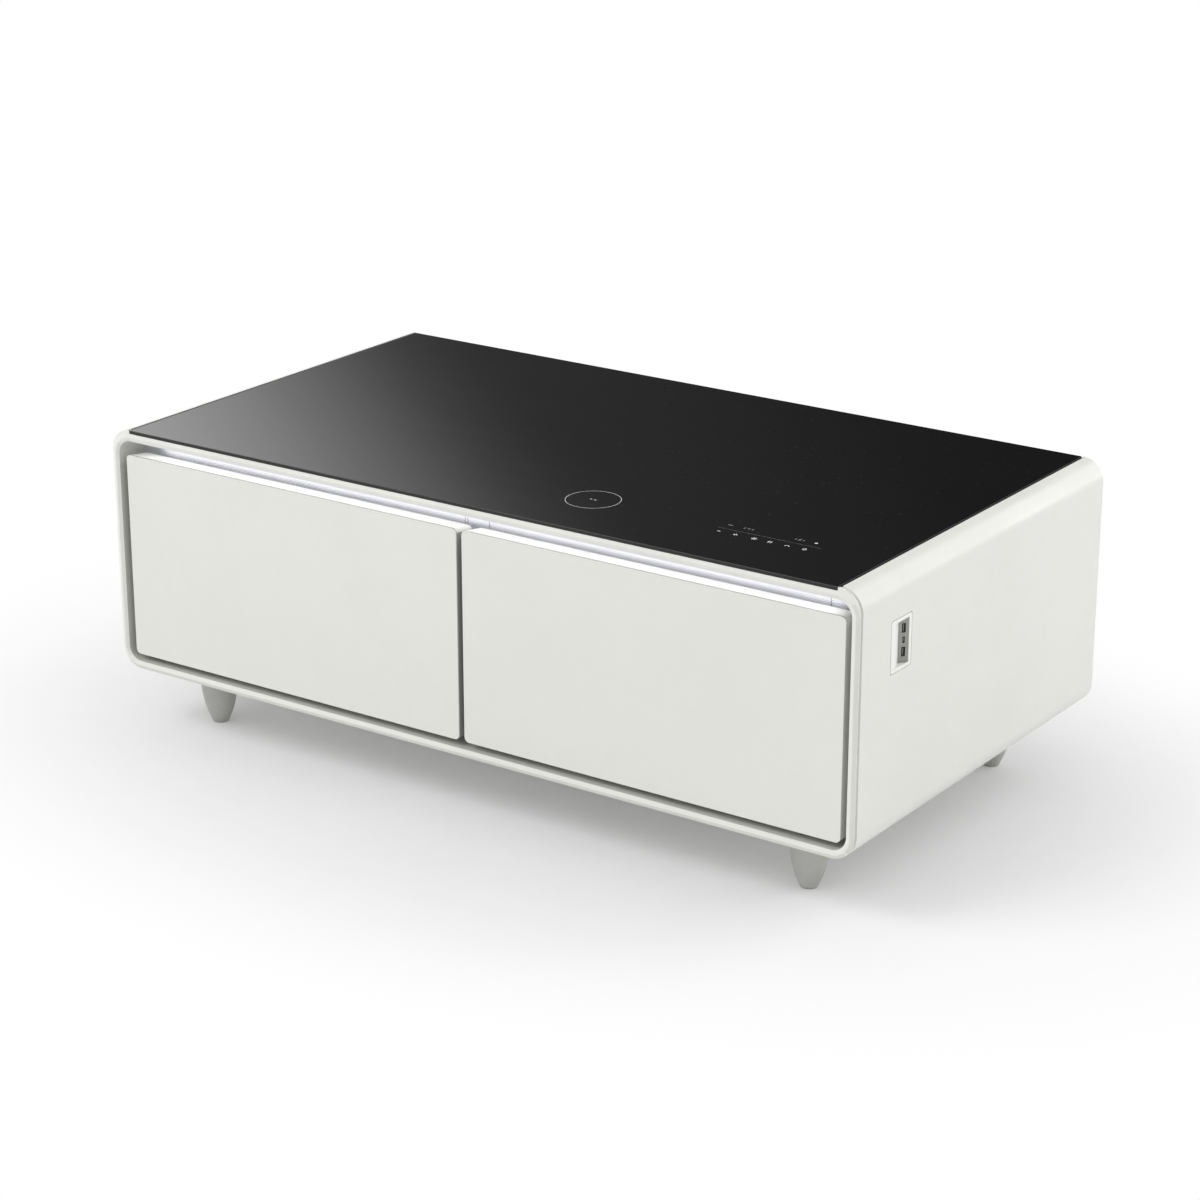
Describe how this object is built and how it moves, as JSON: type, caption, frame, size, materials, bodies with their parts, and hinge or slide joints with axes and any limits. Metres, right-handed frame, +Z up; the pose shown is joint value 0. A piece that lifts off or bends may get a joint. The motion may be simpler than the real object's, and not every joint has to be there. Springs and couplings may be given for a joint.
{
  "type": "refrigerator coffee table",
  "caption": "Low rounded table with a flush dark glass top over refrigerated drawers on runners, short bullet legs, touch controls, and a side recess with USB sockets.",
  "frame": {"origin": "on the floor, under the middle of the casing", "axes": "+X along the length, to the right as seen from the drawer fronts; +Y towards the back; +Z up"},
  "size_m": [1.3, 0.7, 0.475],
  "materials": {
    "casing_white": "satin",
    "bezel_white": "satin",
    "black_glass": "polished",
    "steel": "satin",
    "leg_grey": "satin",
    "foam": "matte",
    "liner_white": "satin",
    "aluminium": "satin",
    "grille_white": "matte",
    "lamp_white": "matte",
    "black_plastic": "matte",
    "board_green": "satin",
    "socket_grey": "satin",
    "black_paint": "satin",
    "copper": "satin",
    "seal_rubber": "matte"
  },
  "bodies": {
    "cabinet": {"outer_shell": "casing_white", "front_bezel": "bezel_white", "glass_top": "black_glass", "rear_panel": "casing_white", "left_leg_rail": "steel", "right_leg_rail": "steel", "front_left_leg": "leg_grey", "front_right_leg": "leg_grey", "rear_left_leg": "leg_grey", "rear_right_leg": "leg_grey", "floor_insulation": "foam", "ceiling_insulation": "foam", "left_side_insulation": "foam", "right_side_insulation": "foam", "centre_insulation": "foam", "rear_insulation": "foam", "left_liner": "liner_white", "right_liner": "liner_white", "left_evaporator": "aluminium", "right_evaporator": "aluminium", "speaker_grille": "grille_white", "led_strip": "lamp_white", "left_speaker": "black_plastic", "right_speaker": "black_plastic", "wireless_charger": "black_plastic", "touch_board": "board_green", "outlet_frame": "bezel_white", "usb_module": "socket_grey", "compressor": "black_paint", "condenser": "aluminium", "discharge_pipe": "copper", "suction_pipe": "copper", "fan_frame": "black_plastic", "control_board": "board_green", "power_inlet": "black_plastic", "left_drawer_left_cabinet_runner": "steel", "left_drawer_right_cabinet_runner": "steel", "right_drawer_left_cabinet_runner": "steel", "right_drawer_right_cabinet_runner": "steel"},
    "condenser_fan": {"fan_rotor": "black_plastic"},
    "left_drawer": {"left_drawer_plate": "casing_white", "left_drawer_pan": "casing_white", "left_drawer_foam": "foam", "left_drawer_inner_panel": "liner_white", "left_drawer_gasket": "seal_rubber", "left_drawer_box": "liner_white", "left_drawer_left_box_runner": "steel", "left_drawer_right_box_runner": "steel"},
    "left_drawer_left_runner": {"left_drawer_left_middle_runner": "steel"},
    "left_drawer_right_runner": {"left_drawer_right_middle_runner": "steel"},
    "right_drawer": {"right_drawer_plate": "casing_white", "right_drawer_pan": "casing_white", "right_drawer_foam": "foam", "right_drawer_inner_panel": "liner_white", "right_drawer_gasket": "seal_rubber", "right_drawer_box": "liner_white", "right_drawer_left_box_runner": "steel", "right_drawer_right_box_runner": "steel"},
    "right_drawer_left_runner": {"right_drawer_left_middle_runner": "steel"},
    "right_drawer_right_runner": {"right_drawer_right_middle_runner": "steel"}
  },
  "joints": [
    {"name": "condenser_fan_spin", "type": "hinge", "parent": "cabinet", "child": "condenser_fan", "pos_m": [0.054, 0.241, 0.1923], "axis": [0, 1, 0], "continuous": true},
    {"name": "left_drawer_slide", "type": "slide", "parent": "cabinet", "child": "left_drawer", "axis": [0, -1, 0], "range_m": [0, 0.34]},
    {"name": "left_drawer_left_runner_slide", "type": "slide", "parent": "cabinet", "child": "left_drawer_left_runner", "axis": [0, -1, 0], "range_m": [0, 0.17]},
    {"name": "left_drawer_right_runner_slide", "type": "slide", "parent": "cabinet", "child": "left_drawer_right_runner", "axis": [0, -1, 0], "range_m": [0, 0.17]},
    {"name": "right_drawer_slide", "type": "slide", "parent": "cabinet", "child": "right_drawer", "axis": [0, -1, 0], "range_m": [0, 0.34]},
    {"name": "right_drawer_left_runner_slide", "type": "slide", "parent": "cabinet", "child": "right_drawer_left_runner", "axis": [0, -1, 0], "range_m": [0, 0.17]},
    {"name": "right_drawer_right_runner_slide", "type": "slide", "parent": "cabinet", "child": "right_drawer_right_runner", "axis": [0, -1, 0], "range_m": [0, 0.17]}
  ],
  "couplings": [
    {"joint": "left_drawer_left_runner_slide", "follows": "left_drawer_slide", "ratio": 0.5},
    {"joint": "left_drawer_right_runner_slide", "follows": "left_drawer_slide", "ratio": 0.5},
    {"joint": "right_drawer_left_runner_slide", "follows": "right_drawer_slide", "ratio": 0.5},
    {"joint": "right_drawer_right_runner_slide", "follows": "right_drawer_slide", "ratio": 0.5}
  ]
}
